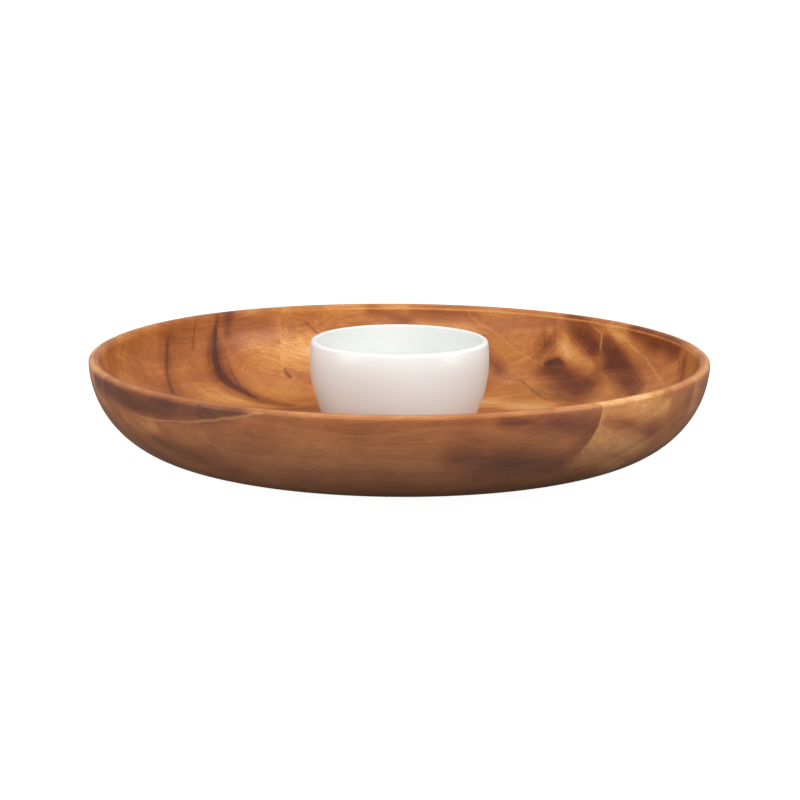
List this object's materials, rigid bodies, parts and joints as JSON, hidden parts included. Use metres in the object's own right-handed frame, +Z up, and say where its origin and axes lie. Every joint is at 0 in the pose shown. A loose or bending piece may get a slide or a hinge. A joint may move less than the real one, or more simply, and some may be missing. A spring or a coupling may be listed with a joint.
{
  "type": "chip and dip server",
  "caption": "Wide shallow round wooden server turned from edge-glued boards, with a lift-out glazed dip bowl standing in a shallow seat at its centre.",
  "frame": {"origin": "centre of the underside, on the turning axis, at the height of the table", "axes": "+Z up along the turning axis, +X to the right along the boards' grain, -Y to the front"},
  "size_m": [0.3998, 0.3998, 0.081],
  "materials": {
    "oiled_wood": "satin oiled",
    "white_glaze": "satin gloss glaze"
  },
  "bodies": {
    "server": {"front_edge_board": "oiled_wood", "front_board": "oiled_wood", "middle_front_board": "oiled_wood", "middle_back_board": "oiled_wood", "back_board": "oiled_wood", "back_edge_board_left": "oiled_wood", "back_edge_board_right": "oiled_wood"},
    "dip_bowl": {"dip_bowl": "white_glaze"}
  },
  "joints": [
    {"name": "dip_bowl_lift", "type": "slide", "parent": "server", "child": "dip_bowl", "axis": [0, 0, 1], "range_m": [0, 0.08]}
  ]
}
